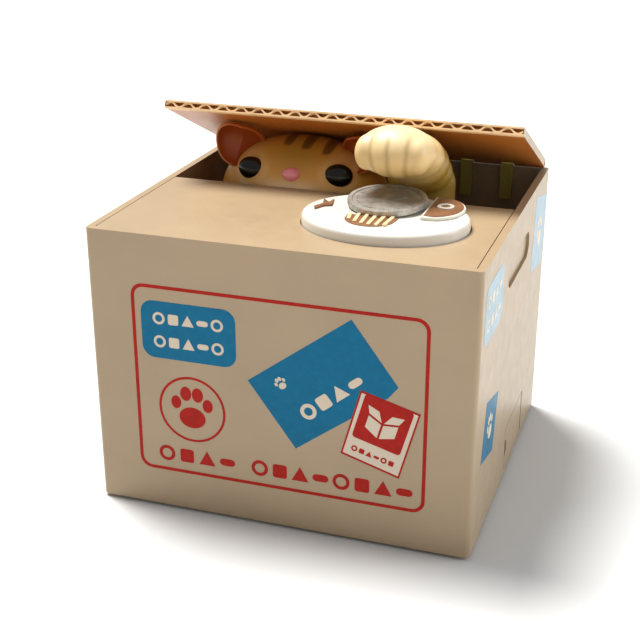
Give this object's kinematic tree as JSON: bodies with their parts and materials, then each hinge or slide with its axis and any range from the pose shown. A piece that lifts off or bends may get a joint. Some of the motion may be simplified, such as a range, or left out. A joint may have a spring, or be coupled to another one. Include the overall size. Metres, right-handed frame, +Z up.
{
  "type": "mechanical coin bank",
  "caption": "Carton-shaped mechanical coin bank: a coin on the oval tray makes a cat's paw and head draw back and down into the case.",
  "frame": {"origin": "middle of the resting face, under the rubber feet", "axes": "+X to the object's right as seen from the front, +Y to the back, +Z up"},
  "size_m": [0.12, 0.11, 0.1174],
  "materials": {
    "carton": "fine moulded satin, tan",
    "carton_inner": "matt brown",
    "board": "satin, corrugated cut edge",
    "fur": "airbrushed tan, satin",
    "fur_pale": "airbrushed cream, satin",
    "eye_black": "high gloss",
    "nose_pink": "gloss",
    "tray_white": "gloss",
    "fish_brown": "satin print on relief",
    "coin_metal": "worn, circular sheen",
    "steel": "ground",
    "nylon": "natural nylon",
    "frame_grey": "matt",
    "rubber": "matt",
    "circuit_green": "solder mask",
    "contact_brass": "plain",
    "cell_sleeve": "plain printed sleeve without marks",
    "black_plastic": "matt"
  },
  "bodies": {
    "root": {"front_wall": "carton", "rear_wall": "carton", "left_wall": "carton", "right_wall": "carton", "top_deck": "carton", "base_plate": "carton_inner", "rubber_feet": "rubber", "case_screws": "steel", "battery_case": "frame_grey", "battery_cells": "cell_sleeve", "battery_contacts": "contact_brass", "battery_door": "carton_inner", "battery_door_screw": "steel", "circuit_board": "circuit_green", "tray_switch": "black_plastic", "speaker": "black_plastic", "gear_frame_left": "frame_grey", "gear_frame_right": "frame_grey", "frame_spacers": "steel", "motor_can": "steel", "head_guide_rods": "steel", "paw_guide_rods": "steel", "paw_rail_stand": "frame_grey", "coin_bin": "carton_inner", "hatch_pin": "steel", "lid_hinge_brackets": "carton_inner", "lid_hinge_pins": "steel"},
    "lid": {"lid_panel": "board", "lid_front_edge": "board"},
    "head": {"head_front_shell": "fur", "head_rear_shell": "fur", "left_ear": "fur", "right_ear": "fur", "eyes": "eye_black", "nose": "nose_pink", "head_carrier": "nylon", "head_screws": "steel"},
    "drive": {"main_shaft": "steel", "head_pinion": "nylon", "paw_pinion": "nylon"},
    "first_gear": {"first_wheel": "nylon", "first_shaft": "steel"},
    "second_gear": {"second_wheel": "nylon", "second_shaft": "steel"},
    "motor_rotor": {"motor_pinion": "nylon"},
    "paw": {"paw_carriage": "nylon", "paw_core": "frame_grey", "arm_left_shell": "fur", "arm_right_shell": "fur", "paw_mitt": "fur_pale"},
    "tray": {"coin_tray": "tray_white", "tray_plunger": "nylon", "fish_head": "fish_brown", "fish_tail": "fish_brown", "fish_ribs": "fur_pale"},
    "coin": {"coin": "coin_metal"},
    "hatch": {"hatch_door": "carton"}
  },
  "joints": [
    {"name": "drive_turn", "type": "hinge", "parent": "root", "child": "drive", "pos_m": [0, 0.01, 0.034], "axis": [-1, 0, 0], "range_deg": [0, 100]},
    {"name": "first_turn", "type": "hinge", "parent": "root", "child": "first_gear", "pos_m": [0, -0.0028, 0.0244], "axis": [-1, 0, 0], "range_deg": [-235, 0]},
    {"name": "second_turn", "type": "hinge", "parent": "root", "child": "second_gear", "pos_m": [0, -0.01288, 0.03784], "axis": [-1, 0, 0], "range_deg": [0, 585]},
    {"name": "motor_turn", "type": "hinge", "parent": "root", "child": "motor_rotor", "pos_m": [0, -0.02296, 0.05128], "axis": [-1, 0, 0], "range_deg": [-1460, 0]},
    {"name": "head_slide", "type": "slide", "parent": "root", "child": "head", "axis": [0, 0, -1], "range_m": [0, 0.0196]},
    {"name": "paw_slide", "type": "slide", "parent": "root", "child": "paw", "axis": [0, 0.9092, -0.4163], "range_m": [0, 0.028]},
    {"name": "lid_hinge", "type": "hinge", "parent": "root", "child": "lid", "pos_m": [0, 0.053, 0.0928], "axis": [-1, 0, 0], "range_deg": [0, 65]},
    {"name": "tray_press", "type": "slide", "parent": "root", "child": "tray", "axis": [0, 0, -1], "range_m": [0, 0.001], "stiffness_N_per_m": 300, "springref_m": -0.003},
    {"name": "coin_slide", "type": "slide", "parent": "tray", "child": "coin", "axis": [0, -0.9659, 0.2588], "range_m": [0, 0.06]},
    {"name": "hatch_hinge", "type": "hinge", "parent": "root", "child": "hatch", "pos_m": [0.0588, 0.0258, 0.011], "axis": [0, 0, 1], "range_deg": [0, 100]}
  ],
  "couplings": [
    {"joint": "first_turn", "follows": "drive_turn", "ratio": -2.3333},
    {"joint": "second_turn", "follows": "drive_turn", "ratio": 5.8333},
    {"joint": "motor_turn", "follows": "drive_turn", "ratio": -14.583},
    {"joint": "head_slide", "follows": "drive_turn", "m_per_rad": 0.0112},
    {"joint": "paw_slide", "follows": "drive_turn", "m_per_rad": 0.016}
  ]
}
